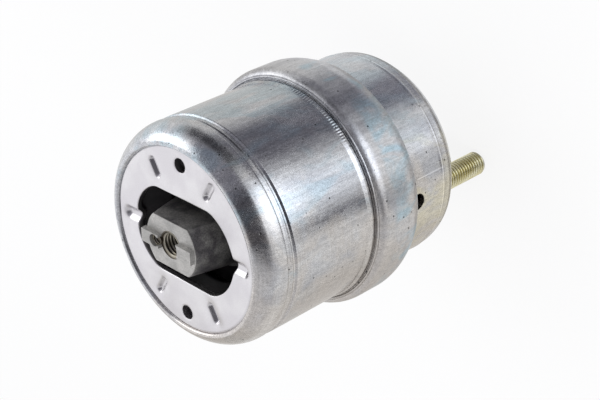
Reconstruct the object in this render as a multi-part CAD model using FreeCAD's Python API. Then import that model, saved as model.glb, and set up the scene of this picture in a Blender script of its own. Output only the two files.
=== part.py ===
import FreeCAD, Part
import math
import os
from FreeCAD import Vector

# Hydraulic engine mount, standing on its stud end. Millimetres.
# Z runs up the axis of the mount, from the seat of the rear can (z = 0) to the
# threaded face of the core. X runs along the key of the core.

# ---- front can: drawn cover with a rounded front lip ----
CAN_RADIUS = 45.0
CAN_WALL = 2.0
LIP_RADIUS = 13.0
LIP_REACH = 7.6
CAN_REAR_Z = 53.0
CAN_STRAIGHT_TOP_Z = 99.0
SWAGE_DEPTH = 0.5
SWAGE_BELOW_LIP = 0.6
SWAGE_WIDTH = 4.2
RIM_FLARE = 0.6
RIM_FLARE_LENGTH = 2.6

# ---- stop plate: limits the upward travel of the core ----
PLATE_BELOW_LIP = 3.0
PLATE_WALL = 2.5
PLATE_RIM_DROP = 4.5
OPENING_HALF_LENGTH = 26.9
OPENING_HALF_WIDTH = 17.7
OPENING_END_SWELL = 1.3
OPENING_CORNER_RADIUS = 9.0
DART_COUNT = 6
DART_INNER_RADIUS = 25.3
DART_OUTER_RADIUS = 34.2
DART_WIDTH = 4.0
DART_DEPTH = 1.8
PLATE_HOLE_RADIUS = 2.9
PLATE_HOLE_PITCH_RADIUS = 31.4

# ---- core: cast, carries the engine arm ----
CORE_STANDOUT = 6.0
CORE_FACE_RADIUS = 13.7
CORE_NECK_RADIUS = 19.0
CORE_FLAT_HALF_WIDTH = 9.95
CORE_FLAT_LENGTH = 25.0
CORE_SHOULDER_RADIUS = 26.0
CORE_NECK_LENGTH = 29.0
CORE_SHOULDER_HEIGHT = 8.0
CORE_FOOT_RADIUS = 10.0
CORE_FOOT_Z = 60.0
CORE_SIDE_SHIFT = 0.8
KEY_LEFT_REACH = 14.4
KEY_RIGHT_REACH = 13.0
KEY_WIDTH = 5.5
KEY_HEIGHT = 2.0
CORE_BORE_RADIUS = 5.0
CORE_BORE_DEPTH = 25.0
CORE_BORE_MOUTH_CHAMFER = 0.6
POCKET_RADIUS = 2.2
POCKET_FROM_BORE = 2.4
POCKET_DEPTH = 2.5

# ---- rubber of the spring and of the stop ----
RUBBER_COAT = 2.0
SPRING_BOND_TOP_Z = 70.0
SPRING_BASE_Z = 49.5
BUFFER_DEPTH = 15.0
BUFFER_BORE_RADIUS = 21.0
BUFFER_TOP_BORE_RADIUS = 30.0
BUFFER_INSET = 9.5

# ---- sleeve: the steel ring the spring is bonded into ----
SLEEVE_WALL = 2.5
SLEEVE_FLANGE_WALL = 2.5

# ---- collar that clamps the stack of rims ----
COLLAR_STEP = 4.5
COLLAR_WALL = 2.0
COLLAR_SHOULDER_RADIUS = 4.5
COLLAR_FRONT_WALL = 2.2
COLLAR_CURL_Z = 38.0
COLLAR_CURL_RADIUS = 15.0
COLLAR_REAR_TUCK = 2.0
COLLAR_REAR_Z = 30.5
COLLAR_HEM_TUCK = 5.1

# ---- stack of plates in the collar, from the front ----
UPPER_PLATE_WALL = 3.5
LOWER_PLATE_WALL = 4.5
DIAPHRAGM_BEAD = 3.0
REAR_FLANGE_WALL = 2.0
CHANNEL_INNER_RADIUS = 28.0
CHANNEL_OUTER_RADIUS = 36.0
CHANNEL_DEPTH = 3.0
CHANNEL_SWEEP = 320.0
PORT_RADIUS = 3.2
CAGE_RADIUS = 20.0
CAGE_DEPTH = 1.5
CAGE_HOLE_RADIUS = 3.0
CAGE_HOLE_COUNT = 6
CAGE_HOLE_PITCH_RADIUS = 11.5
DECOUPLER_RADIUS = 19.6
DECOUPLER_WALL = 2.6
MEMBRANE_WALL = 2.0

# ---- rear can and stud ----
REAR_CAN_STEP = 1.7
REAR_CAN_WALL = 2.0
REAR_CORNER_RADIUS = 9.0
VENT_RADIUS = 3.5
VENT_Z = 25.7
STUD_RADIUS = 5.0
STUD_LENGTH = 33.0
STUD_CHAMFER = 1.3
STUD_NECK_RADIUS = 5.5
STUD_HEAD_RADIUS = 6.5
STUD_HEAD_HEIGHT = 4.0
STUD_INSET = 15.6
STUD_ANGLE = -21.0

# ---- sizes that follow from the ones above ----
CAN_BORE_RADIUS = CAN_RADIUS - CAN_WALL
LIP_BORE_RADIUS = CAN_RADIUS - LIP_REACH
SWAGE_TOP_Z = CAN_STRAIGHT_TOP_Z - SWAGE_BELOW_LIP
SWAGE_BOTTOM_Z = SWAGE_TOP_Z - SWAGE_WIDTH
PLATE_FACE_Z = CAN_STRAIGHT_TOP_Z + LIP_RADIUS - PLATE_BELOW_LIP
PLATE_RIM_Z = PLATE_FACE_Z - PLATE_RIM_DROP
OPENING_END_RADIUS = OPENING_HALF_WIDTH + OPENING_END_SWELL
CORE_FACE_Z = PLATE_FACE_Z + CORE_STANDOUT
CORE_FLAT_BOTTOM_Z = CORE_FACE_Z - CORE_FLAT_LENGTH
CORE_SHOULDER_TOP_Z = CORE_FACE_Z - CORE_NECK_LENGTH
CORE_SHOULDER_BOTTOM_Z = CORE_SHOULDER_TOP_Z - CORE_SHOULDER_HEIGHT
CORE_BORE_MOUTH_RADIUS = CORE_BORE_RADIUS + CORE_BORE_MOUTH_CHAMFER
POCKET_CENTRE = CORE_BORE_RADIUS + POCKET_FROM_BORE
BUFFER_BOTTOM_Z = PLATE_FACE_Z - BUFFER_DEPTH
BUFFER_RADIUS = CAN_RADIUS - BUFFER_INSET
COLLAR_RADIUS = CAN_RADIUS + COLLAR_STEP
COLLAR_REAR_RADIUS = COLLAR_RADIUS - COLLAR_REAR_TUCK
COLLAR_HEM_RADIUS = COLLAR_RADIUS - COLLAR_HEM_TUCK
REAR_CAN_RADIUS = CAN_RADIUS - REAR_CAN_STEP
STUD_PITCH_RADIUS = REAR_CAN_RADIUS - STUD_INSET
LIP_CENTRE_RADIUS = CAN_RADIUS - LIP_RADIUS
LIP_INNER_RADIUS = LIP_RADIUS - CAN_WALL
SLEEVE_BORE_RADIUS = CAN_BORE_RADIUS - SLEEVE_WALL
STACK_TOP_Z = CAN_REAR_Z - COLLAR_FRONT_WALL
SLEEVE_FLANGE_Z = STACK_TOP_Z - SLEEVE_FLANGE_WALL
UPPER_PLATE_Z = SLEEVE_FLANGE_Z - UPPER_PLATE_WALL
LOWER_PLATE_Z = UPPER_PLATE_Z - LOWER_PLATE_WALL
DIAPHRAGM_Z = LOWER_PLATE_Z - DIAPHRAGM_BEAD
REAR_FLANGE_Z = DIAPHRAGM_Z - REAR_FLANGE_WALL
STACK_RADIUS = COLLAR_RADIUS - COLLAR_WALL
AXIS = Vector(0, 0, 1)
ORIGIN = Vector(0, 0, 0)


def height_on_lip(radius, arc_radius):
    """Height of the lip's arc of that radius, at a distance from the axis."""
    across = radius - LIP_CENTRE_RADIUS
    return CAN_STRAIGHT_TOP_Z + math.sqrt(arc_radius ** 2 - across ** 2)


def radius_on_lip(height, arc_radius):
    """Distance from the axis of the lip's arc of that radius, at a height."""
    up = height - CAN_STRAIGHT_TOP_Z
    return LIP_CENTRE_RADIUS + math.sqrt(arc_radius ** 2 - up ** 2)


def lip_arc(start, end, arc_radius):
    """Arc about the lip's centre between two points given as (radius, height)."""
    middle_r = (start[0] + end[0]) / 2.0 - LIP_CENTRE_RADIUS
    middle_z = (start[1] + end[1]) / 2.0 - CAN_STRAIGHT_TOP_Z
    scale = arc_radius / math.hypot(middle_r, middle_z)
    middle = Vector(LIP_CENTRE_RADIUS + middle_r * scale, 0, CAN_STRAIGHT_TOP_Z + middle_z * scale)
    return Part.Arc(Vector(start[0], 0, start[1]), middle, Vector(end[0], 0, end[1])).toShape()


def rounded_edges(corners, closed=True):
    """Edges through (radius, height, rounding) corners, each corner rounded as it asks."""
    count = len(corners)
    points = [Vector(corner[0], 0, corner[1]) for corner in corners]
    starts = []
    ends = []
    arcs = []
    for index in range(count):
        rounding = corners[index][2]
        point = points[index]
        if rounding == 0 or (not closed and index in (0, count - 1)):
            starts.append(point)
            ends.append(point)
            arcs.append(None)
            continue
        back = (points[index - 1] - point).normalize()
        ahead = (points[(index + 1) % count] - point).normalize()
        half_angle = back.getAngle(ahead) / 2.0
        reach = rounding / math.tan(half_angle)
        start = point + back * reach
        end = point + ahead * reach
        bisector = (back + ahead).normalize()
        centre = point + bisector * (rounding / math.sin(half_angle))
        middle = centre - bisector * rounding
        starts.append(start)
        ends.append(end)
        arcs.append(Part.Arc(start, middle, end).toShape())
    edges = []
    last = count if closed else count - 1
    for index in range(count):
        if arcs[index] is not None:
            edges.append(arcs[index])
        if index < last:
            line_start = ends[index]
            line_end = starts[(index + 1) % count]
            if line_start.distanceToPoint(line_end) > 1e-6:
                edges.append(Part.makeLine(line_start, line_end))
    return edges


def revolved(edges):
    """Solid made by turning a closed outline about the axis."""
    face = Part.Face(Part.Wire(Part.__sortEdges__(edges)))
    return face.revolve(ORIGIN, AXIS, 360)


def turned(corners):
    """Solid made by turning an outline with rounded corners about the axis."""
    return revolved(rounded_edges(corners))


def at_angle(radius, angle, height):
    """Point at a distance from the axis, an angle from the key and a height."""
    turn = math.radians(angle)
    return Vector(radius * math.cos(turn), radius * math.sin(turn), height)


def front_can():
    """Drawn cover: rounded lip, swaged ring, straight wall, flared rear rim."""
    lip_end_outside = (LIP_BORE_RADIUS, height_on_lip(LIP_BORE_RADIUS, LIP_RADIUS))
    lip_end_inside = (LIP_BORE_RADIUS, height_on_lip(LIP_BORE_RADIUS, LIP_INNER_RADIUS))
    swage_radius = CAN_RADIUS - SWAGE_DEPTH
    rim_radius = CAN_RADIUS + RIM_FLARE
    edges = [
        lip_arc(lip_end_outside, (CAN_RADIUS, CAN_STRAIGHT_TOP_Z), LIP_RADIUS),
        lip_arc(lip_end_inside, (CAN_BORE_RADIUS, CAN_STRAIGHT_TOP_Z), LIP_INNER_RADIUS),
        Part.makeLine(
            Vector(lip_end_outside[0], 0, lip_end_outside[1]),
            Vector(lip_end_inside[0], 0, lip_end_inside[1]),
        ),
    ]
    wall = [
        (CAN_RADIUS, CAN_STRAIGHT_TOP_Z, 0),
        (CAN_RADIUS, SWAGE_TOP_Z, 0.3),
        (swage_radius, SWAGE_TOP_Z - SWAGE_DEPTH, 0.3),
        (swage_radius, SWAGE_BOTTOM_Z + 2 * SWAGE_DEPTH, 0.6),
        (CAN_RADIUS, SWAGE_BOTTOM_Z, 0.6),
        (CAN_RADIUS, CAN_REAR_Z + RIM_FLARE_LENGTH, 2.0),
        (rim_radius, CAN_REAR_Z + RIM_FLARE_LENGTH / 2.0, 1.0),
        (rim_radius, CAN_REAR_Z, 1.0),
        (CAN_BORE_RADIUS, CAN_REAR_Z, 0),
        (CAN_BORE_RADIUS, CAN_STRAIGHT_TOP_Z, 0),
    ]
    return revolved(edges + rounded_edges(wall, closed=False))


def opening_prism(bottom, top):
    """Prism of the stop plate's opening: two flats, two round ends, rounded corners."""
    end_centre = OPENING_HALF_LENGTH - OPENING_END_RADIUS
    inset = OPENING_END_RADIUS - OPENING_CORNER_RADIUS
    corner_y = OPENING_HALF_WIDTH - OPENING_CORNER_RADIUS
    corner_x = end_centre + math.sqrt(inset ** 2 - corner_y ** 2)
    lean = math.atan2(corner_y, corner_x - end_centre)
    middle = (lean + math.pi / 2.0) / 2.0
    edges = []
    for side in (1, -1):
        touch = Vector(
            side * (end_centre + OPENING_END_RADIUS * math.cos(lean)),
            OPENING_END_RADIUS * math.sin(lean), bottom,
        )
        tip = Vector(side * OPENING_HALF_LENGTH, 0, bottom)
        edges.append(Part.Arc(Vector(touch.x, -touch.y, bottom), tip, touch).toShape())
        for up in (1, -1):
            start = Vector(touch.x, up * touch.y, bottom)
            bend = Vector(
                side * (corner_x + OPENING_CORNER_RADIUS * math.cos(middle)),
                up * (corner_y + OPENING_CORNER_RADIUS * math.sin(middle)), bottom,
            )
            end = Vector(side * corner_x, up * OPENING_HALF_WIDTH, bottom)
            edges.append(Part.Arc(start, bend, end).toShape())
    for up in (1, -1):
        edges.append(Part.makeLine(
            Vector(-corner_x, up * OPENING_HALF_WIDTH, bottom),
            Vector(corner_x, up * OPENING_HALF_WIDTH, bottom),
        ))
    wire = Part.Wire(Part.__sortEdges__(edges))
    return Part.Face(wire).extrude(Vector(0, 0, top - bottom))


def dart_body(angle, width, depth, face_z):
    """Half-round rib lying along a radius, both ends round, sunk that deep below the face."""
    radius = width / 2.0
    axis_z = face_z + radius - depth
    half_dart = DART_WIDTH / 2.0
    outer_end = at_angle(DART_OUTER_RADIUS - half_dart, angle, axis_z)
    inner_end = at_angle(DART_INNER_RADIUS + half_dart, angle, axis_z)
    run = inner_end - outer_end
    rib = Part.makeCylinder(radius, run.Length, outer_end, run)
    ends = [Part.makeSphere(radius, outer_end), Part.makeSphere(radius, inner_end)]
    return rib.fuse(ends)


def stop_plate():
    """Flat plate with its rim drawn down inside the lip, opening, darts and two holes."""
    face_reach = radius_on_lip(PLATE_FACE_Z, LIP_INNER_RADIUS)
    rim_outer = radius_on_lip(PLATE_RIM_Z, LIP_INNER_RADIUS)
    under_radius = LIP_INNER_RADIUS - PLATE_WALL
    under_z = PLATE_FACE_Z - PLATE_WALL
    under_reach = radius_on_lip(under_z, under_radius)
    rim_inner = radius_on_lip(PLATE_RIM_Z, under_radius)
    edges = [
        Part.makeLine(Vector(0, 0, PLATE_FACE_Z), Vector(face_reach, 0, PLATE_FACE_Z)),
        lip_arc((face_reach, PLATE_FACE_Z), (rim_outer, PLATE_RIM_Z), LIP_INNER_RADIUS),
        Part.makeLine(Vector(rim_outer, 0, PLATE_RIM_Z), Vector(rim_inner, 0, PLATE_RIM_Z)),
        lip_arc((rim_inner, PLATE_RIM_Z), (under_reach, under_z), under_radius),
        Part.makeLine(Vector(under_reach, 0, under_z), Vector(0, 0, under_z)),
        Part.makeLine(Vector(0, 0, under_z), Vector(0, 0, PLATE_FACE_Z)),
    ]
    plate = revolved(edges)
    below = Part.makeBox(
        2 * CAN_RADIUS, 2 * CAN_RADIUS, CAN_RADIUS,
        Vector(-CAN_RADIUS, -CAN_RADIUS, PLATE_FACE_Z - PLATE_WALL / 2.0 - CAN_RADIUS),
    )
    grooves = []
    bumps = []
    for index in range(DART_COUNT):
        angle = index * 360.0 / DART_COUNT
        groove = dart_body(angle, DART_WIDTH, DART_DEPTH, PLATE_FACE_Z)
        swollen = dart_body(angle, DART_WIDTH + PLATE_WALL, DART_DEPTH + PLATE_WALL / 2.0, PLATE_FACE_Z)
        grooves.append(groove)
        bumps.append(swollen.common(below))
    plate = plate.fuse(bumps)
    plate = plate.cut(grooves)
    plate = plate.cut(opening_prism(PLATE_FACE_Z - 4 * PLATE_WALL, PLATE_FACE_Z + PLATE_WALL))
    for angle in (90.0, 270.0):
        foot = at_angle(PLATE_HOLE_PITCH_RADIUS, angle, PLATE_FACE_Z - 2 * PLATE_WALL)
        plate = plate.cut(Part.makeCylinder(PLATE_HOLE_RADIUS, 3 * PLATE_WALL, foot))
    return plate.removeSplitter()


def core():
    """Cast core: tapered post with two flats and a key, wide shoulder, tapered foot.
    The rubber holds it a little to one side of the axis."""
    post = turned([
        (0, CORE_FOOT_Z, 0),
        (CORE_FOOT_RADIUS, CORE_FOOT_Z, 3.0),
        (CORE_SHOULDER_RADIUS, CORE_SHOULDER_BOTTOM_Z, 3.0),
        (CORE_SHOULDER_RADIUS, CORE_SHOULDER_TOP_Z, 2.0),
        (CORE_NECK_RADIUS, CORE_SHOULDER_TOP_Z, 0),
        (CORE_FACE_RADIUS, CORE_FACE_Z, 0.6),
        (0, CORE_FACE_Z, 0),
    ])
    flat_height = CORE_FACE_Z - CORE_FLAT_BOTTOM_Z
    for side in (1, -1):
        block = Part.makeBox(
            4 * CORE_FACE_RADIUS, 2 * CORE_FACE_RADIUS, flat_height,
            Vector(-2 * CORE_FACE_RADIUS, 0, CORE_FLAT_BOTTOM_Z),
        )
        if side < 0:
            block = block.mirror(ORIGIN, Vector(0, 1, 0))
        block.translate(Vector(0, side * CORE_FLAT_HALF_WIDTH, 0))
        post = post.cut(block)
    key = Part.makeBox(
        KEY_LEFT_REACH + KEY_RIGHT_REACH, KEY_WIDTH, 2 * KEY_HEIGHT,
        Vector(-KEY_LEFT_REACH, -KEY_WIDTH / 2.0, CORE_FACE_Z - KEY_HEIGHT),
    )
    post = post.fuse(key)
    top_z = CORE_FACE_Z + KEY_HEIGHT
    post = post.cut(Part.makeCylinder(CORE_BORE_RADIUS, CORE_BORE_DEPTH, Vector(0, 0, top_z - CORE_BORE_DEPTH)))
    drill_tip = CORE_BORE_RADIUS / math.tan(math.radians(59))
    post = post.cut(Part.makeCone(
        0, CORE_BORE_RADIUS, drill_tip, Vector(0, 0, top_z - CORE_BORE_DEPTH - drill_tip),
    ))
    mouth_depth = CORE_BORE_MOUTH_RADIUS - CORE_BORE_RADIUS
    mouth = Part.makeCone(
        CORE_BORE_RADIUS, CORE_BORE_MOUTH_RADIUS, mouth_depth, Vector(0, 0, CORE_FACE_Z - mouth_depth),
    )
    clearance = Part.makeCylinder(CORE_BORE_MOUTH_RADIUS, 2 * KEY_HEIGHT, Vector(0, 0, CORE_FACE_Z))
    pocket = Part.makeCylinder(
        POCKET_RADIUS, 2 * KEY_HEIGHT + POCKET_DEPTH, Vector(-POCKET_CENTRE, 0, CORE_FACE_Z - POCKET_DEPTH),
    )
    post = post.cut([mouth, clearance, pocket]).removeSplitter()
    post.translate(Vector(0, CORE_SIDE_SHIFT, 0))
    return post


def spring(core_solid):
    """Rubber of the main spring, moulded round the core and into the sleeve."""
    limb_radius = CORE_SHOULDER_RADIUS + RUBBER_COAT + 0.5
    outline = [
        (0, CORE_FOOT_Z - RUBBER_COAT, 0),
        (CORE_FOOT_RADIUS + RUBBER_COAT, CORE_FOOT_Z - RUBBER_COAT, 3.0),
        (CORE_SHOULDER_RADIUS + RUBBER_COAT, CORE_FOOT_Z - 2.5 * RUBBER_COAT, 8.0),
        (SLEEVE_BORE_RADIUS - 1.5 * RUBBER_COAT, SPRING_BASE_Z, 0),
        (SLEEVE_BORE_RADIUS, SPRING_BASE_Z, 0),
        (SLEEVE_BORE_RADIUS, SPRING_BOND_TOP_Z, 0),
        (SLEEVE_BORE_RADIUS - 2 * RUBBER_COAT, SPRING_BOND_TOP_Z, 3.0),
        (limb_radius, CORE_SHOULDER_BOTTOM_Z + RUBBER_COAT, 4.0),
        (limb_radius, CORE_SHOULDER_TOP_Z + RUBBER_COAT, 2.5),
        (0, CORE_SHOULDER_TOP_Z + RUBBER_COAT, 0),
    ]
    return turned(outline).cut(core_solid)


def stop_buffer():
    """Rubber ring under the stop plate that the core's shoulder meets at full lift."""
    top_z = PLATE_FACE_Z - PLATE_WALL
    bulk = turned([
        (BUFFER_TOP_BORE_RADIUS, top_z, 0),
        (BUFFER_RADIUS, top_z, 0),
        (BUFFER_RADIUS, BUFFER_BOTTOM_Z + 4.0, 2.0),
        (BUFFER_RADIUS - 4.0, BUFFER_BOTTOM_Z, 2.0),
        (BUFFER_BORE_RADIUS, BUFFER_BOTTOM_Z, 1.2),
    ])
    return bulk.cut(stop_plate())


def sleeve():
    """Steel sleeve: tube inside the front can, with a flange for the collar."""
    top_outer = radius_on_lip(PLATE_RIM_Z, LIP_INNER_RADIUS)
    edges = [
        lip_arc((CAN_BORE_RADIUS, CAN_STRAIGHT_TOP_Z), (top_outer, PLATE_RIM_Z), LIP_INNER_RADIUS),
    ]
    wall = [
        (top_outer, PLATE_RIM_Z, 0),
        (SLEEVE_BORE_RADIUS, PLATE_RIM_Z, 0),
        (SLEEVE_BORE_RADIUS, SLEEVE_FLANGE_Z, 0),
        (STACK_RADIUS, SLEEVE_FLANGE_Z, 0),
        (STACK_RADIUS, STACK_TOP_Z, 0.6),
        (CAN_BORE_RADIUS, STACK_TOP_Z, 0),
        (CAN_BORE_RADIUS, CAN_STRAIGHT_TOP_Z, 0),
    ]
    return revolved(edges + rounded_edges(wall, closed=False))


def cage_holes(bottom, top):
    """Holes of the grid that caps the decoupler: one in the middle, a ring round it."""
    holes = [Part.makeCylinder(CAGE_HOLE_RADIUS, top - bottom, Vector(0, 0, bottom))]
    for index in range(CAGE_HOLE_COUNT):
        foot = at_angle(CAGE_HOLE_PITCH_RADIUS, index * 360.0 / CAGE_HOLE_COUNT, bottom)
        holes.append(Part.makeCylinder(CAGE_HOLE_RADIUS, top - bottom, foot))
    return holes


def upper_plate():
    """Upper half of the channel plate: inlet port, grid and half of the cage."""
    top_z = SLEEVE_FLANGE_Z
    plate = Part.makeCylinder(STACK_RADIUS, UPPER_PLATE_WALL, Vector(0, 0, UPPER_PLATE_Z))
    cage = Part.makeCylinder(CAGE_RADIUS, CAGE_DEPTH, Vector(0, 0, UPPER_PLATE_Z))
    channel_middle = (CHANNEL_INNER_RADIUS + CHANNEL_OUTER_RADIUS) / 2.0
    port = Part.makeCylinder(PORT_RADIUS, UPPER_PLATE_WALL, at_angle(channel_middle, 10.0, UPPER_PLATE_Z))
    return plate.cut([cage, port] + cage_holes(UPPER_PLATE_Z, top_z))


def lower_plate():
    """Lower half of the channel plate: ring channel, outlet port, grid and half of the cage."""
    plate = Part.makeCylinder(STACK_RADIUS, LOWER_PLATE_WALL, Vector(0, 0, LOWER_PLATE_Z))
    cage = Part.makeCylinder(CAGE_RADIUS, CAGE_DEPTH, Vector(0, 0, UPPER_PLATE_Z - CAGE_DEPTH))
    floor_z = UPPER_PLATE_Z - CHANNEL_DEPTH
    section = Part.makePolygon([
        Vector(CHANNEL_INNER_RADIUS, 0, floor_z),
        Vector(CHANNEL_OUTER_RADIUS, 0, floor_z),
        Vector(CHANNEL_OUTER_RADIUS, 0, UPPER_PLATE_Z),
        Vector(CHANNEL_INNER_RADIUS, 0, UPPER_PLATE_Z),
        Vector(CHANNEL_INNER_RADIUS, 0, floor_z),
    ])
    channel = Part.Face(section).revolve(ORIGIN, AXIS, CHANNEL_SWEEP)
    channel_middle = (CHANNEL_INNER_RADIUS + CHANNEL_OUTER_RADIUS) / 2.0
    port = Part.makeCylinder(
        PORT_RADIUS, LOWER_PLATE_WALL, at_angle(channel_middle, CHANNEL_SWEEP - 10.0, LOWER_PLATE_Z),
    )
    return plate.cut([cage, channel, port] + cage_holes(LOWER_PLATE_Z, UPPER_PLATE_Z))


def decoupler():
    """Loose rubber disc in the cage between the two channel plates."""
    bottom = UPPER_PLATE_Z - CAGE_DEPTH
    return turned([
        (0, bottom, 0),
        (DECOUPLER_RADIUS, bottom, 0.5),
        (DECOUPLER_RADIUS, bottom + DECOUPLER_WALL, 0.5),
        (0, bottom + DECOUPLER_WALL, 0),
    ])


def diaphragm():
    """Rolling rubber diaphragm: clamped bead, skirt and folded middle."""
    skirt = REAR_CAN_RADIUS - REAR_CAN_WALL - 2.8
    fold = skirt - 5.2
    bead_top = DIAPHRAGM_Z + DIAPHRAGM_BEAD
    low = 13.0
    outline = [
        (0, low + 9.0, 0),
        (13.0, low + 7.0, 8.0),
        (23.5, low, 5.0),
        (fold, low + 2.0, 4.0),
        (skirt, low + 11.5, 5.0),
        (skirt, DIAPHRAGM_Z, 1.0),
        (STACK_RADIUS, DIAPHRAGM_Z, 0.5),
        (STACK_RADIUS, bead_top, 0),
        (skirt - MEMBRANE_WALL, bead_top, 0),
        (skirt - MEMBRANE_WALL, low + 12.0, 3.0),
        (fold - 1.3, low + 4.0, 2.0),
        (23.2, low + MEMBRANE_WALL, 3.0),
        (13.2, low + 9.0, 6.0),
        (0, low + 11.0, 0),
    ]
    return turned(outline)


def collar():
    """Clamping collar: rounded shoulder behind the front can, rear edge curled in."""
    inner_shoulder = COLLAR_SHOULDER_RADIUS - COLLAR_WALL
    curl_drop = COLLAR_CURL_Z - COLLAR_REAR_Z
    rear_middle_z = COLLAR_CURL_Z - curl_drop / 2.0
    sag = COLLAR_CURL_RADIUS - math.sqrt(COLLAR_CURL_RADIUS ** 2 - (curl_drop / 2.0) ** 2)
    curl = Part.Arc(
        Vector(COLLAR_RADIUS, 0, COLLAR_CURL_Z),
        Vector(COLLAR_RADIUS - sag, 0, rear_middle_z),
        Vector(COLLAR_REAR_RADIUS, 0, COLLAR_REAR_Z + 1.0),
    ).toShape()
    front = [
        (CAN_BORE_RADIUS, STACK_TOP_Z, 0),
        (CAN_BORE_RADIUS, CAN_REAR_Z, 0),
        (COLLAR_RADIUS, CAN_REAR_Z, COLLAR_SHOULDER_RADIUS),
        (COLLAR_RADIUS, COLLAR_CURL_Z, 0),
    ]
    rear = [
        (COLLAR_REAR_RADIUS, COLLAR_REAR_Z + 1.0, 0),
        (COLLAR_REAR_RADIUS - 0.3, COLLAR_REAR_Z, 0.6),
        (COLLAR_HEM_RADIUS, COLLAR_REAR_Z, 1.2),
        (COLLAR_HEM_RADIUS, REAR_FLANGE_Z, 0),
        (STACK_RADIUS, REAR_FLANGE_Z, 0),
        (STACK_RADIUS, STACK_TOP_Z, 0.6),
        (CAN_BORE_RADIUS, STACK_TOP_Z, 0),
    ]
    return revolved(rounded_edges(front, closed=False) + [curl] + rounded_edges(rear, closed=False))


def rear_can():
    """Drawn rear can: flange in the collar, rounded bottom, vent and stud hole."""
    bore = REAR_CAN_RADIUS - REAR_CAN_WALL
    can = turned([
        (0, 0, 0),
        (REAR_CAN_RADIUS, 0, REAR_CORNER_RADIUS),
        (REAR_CAN_RADIUS, REAR_FLANGE_Z, 1.0),
        (STACK_RADIUS, REAR_FLANGE_Z, 0.5),
        (STACK_RADIUS, DIAPHRAGM_Z, 0.5),
        (bore, DIAPHRAGM_Z, 1.5),
        (bore, REAR_CAN_WALL, REAR_CORNER_RADIUS - REAR_CAN_WALL),
        (0, REAR_CAN_WALL, 0),
    ])
    vent = Part.makeCylinder(
        VENT_RADIUS, 2 * REAR_CAN_WALL + VENT_RADIUS, Vector(bore - VENT_RADIUS, 0, VENT_Z), Vector(1, 0, 0),
    )
    stud_hole = Part.makeCylinder(
        STUD_NECK_RADIUS, 3 * REAR_CAN_WALL, at_angle(STUD_PITCH_RADIUS, STUD_ANGLE, -REAR_CAN_WALL),
    )
    return can.cut([vent, stud_hole])


def stud():
    """Fixing stud: head inside the rear can, pressed neck in its bottom, shank below."""
    body = turned([
        (0, -STUD_LENGTH, 0),
        (STUD_RADIUS - STUD_CHAMFER, -STUD_LENGTH, 0),
        (STUD_RADIUS, STUD_CHAMFER - STUD_LENGTH, 0),
        (STUD_RADIUS, 0, 0),
        (STUD_NECK_RADIUS, 0, 0),
        (STUD_NECK_RADIUS, REAR_CAN_WALL, 0),
        (STUD_HEAD_RADIUS, REAR_CAN_WALL, 0),
        (STUD_HEAD_RADIUS, REAR_CAN_WALL + STUD_HEAD_HEIGHT, 1.0),
        (0, REAR_CAN_WALL + STUD_HEAD_HEIGHT, 0),
    ])
    body.translate(at_angle(STUD_PITCH_RADIUS, STUD_ANGLE, 0))
    return body


def write_parts():
    """Build every piece and write one STEP file for each."""
    core_solid = core()
    pieces = {
        "front_can": front_can(),
        "stop_plate": stop_plate(),
        "stop_buffer": stop_buffer(),
        "core": core_solid,
        "spring": spring(core_solid),
        "sleeve": sleeve(),
        "collar": collar(),
        "upper_plate": upper_plate(),
        "lower_plate": lower_plate(),
        "decoupler": decoupler(),
        "diaphragm": diaphragm(),
        "rear_can": rear_can(),
        "stud": stud(),
    }
    os.makedirs("parts", exist_ok=True)
    for name, shape in pieces.items():
        shape.exportStep("parts/" + name + ".step")


write_parts()
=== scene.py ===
import bpy
import math
import numpy as np
from mathutils import Matrix, Vector


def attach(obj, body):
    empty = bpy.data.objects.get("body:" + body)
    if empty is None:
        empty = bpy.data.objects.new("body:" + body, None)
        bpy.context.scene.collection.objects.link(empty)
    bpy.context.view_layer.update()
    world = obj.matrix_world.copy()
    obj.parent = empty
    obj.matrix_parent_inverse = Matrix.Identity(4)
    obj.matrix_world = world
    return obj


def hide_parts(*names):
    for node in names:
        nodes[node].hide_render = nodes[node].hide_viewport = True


# Hydraulic engine mount on its fixing stud, in the frame of the CAD model: Z up the axis,
# the seat of the rear can at z = 0, X along the key of the core. The scene is in metres;
# the sizes of the pieces are written in millimetres and scaled by MM.

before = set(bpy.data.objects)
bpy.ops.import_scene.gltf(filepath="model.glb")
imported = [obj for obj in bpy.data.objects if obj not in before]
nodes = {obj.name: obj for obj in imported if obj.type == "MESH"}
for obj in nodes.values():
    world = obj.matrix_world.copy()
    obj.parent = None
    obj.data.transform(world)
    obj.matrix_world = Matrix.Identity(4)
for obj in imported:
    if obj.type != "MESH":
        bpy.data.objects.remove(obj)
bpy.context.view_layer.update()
scene = bpy.context.scene

MM = 0.001

WAVE_DEPTH = 0.04    # slow waves that drawing leaves in the cans' walls
POLE_RADIUS = 0.01    # ring that closes to a pole of a turned piece
DRILL_LENGTH = 8.0

# ---- front can ----
CAN_RADIUS = 45.0
CAN_BORE_RADIUS = 43.0
CAN_REAR_Z = 53.0
CAN_FLARE_Z = 57.0
CAN_RIM_RADIUS = 45.55
LIP_CENTRE_RADIUS = 32.0
LIP_CENTRE_Z = 99.0
LIP_RADIUS = 13.0
LIP_INNER_RADIUS = 11.0
LIP_BORE_RADIUS = 37.4
LIP_ROUND_END = 54.0
LIP_END_ROUNDING = 1.2

# Swaged ring behind the lip, front to rear: depth under the wall, level, rounding.
SWAGE = (
    (0.0, 98.6, 0.5), (0.55, 97.8, 0.3), (0.45, 96.9, 0.5), (0.2, 96.2, 0.8),
    (0.25, 95.8, 0.4), (0.75, 95.2, 0.3), (0.75, 94.5, 0.3), (0.0, 93.7, 0.6),
)
SWAGE_REAR_Z = 93.0

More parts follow.
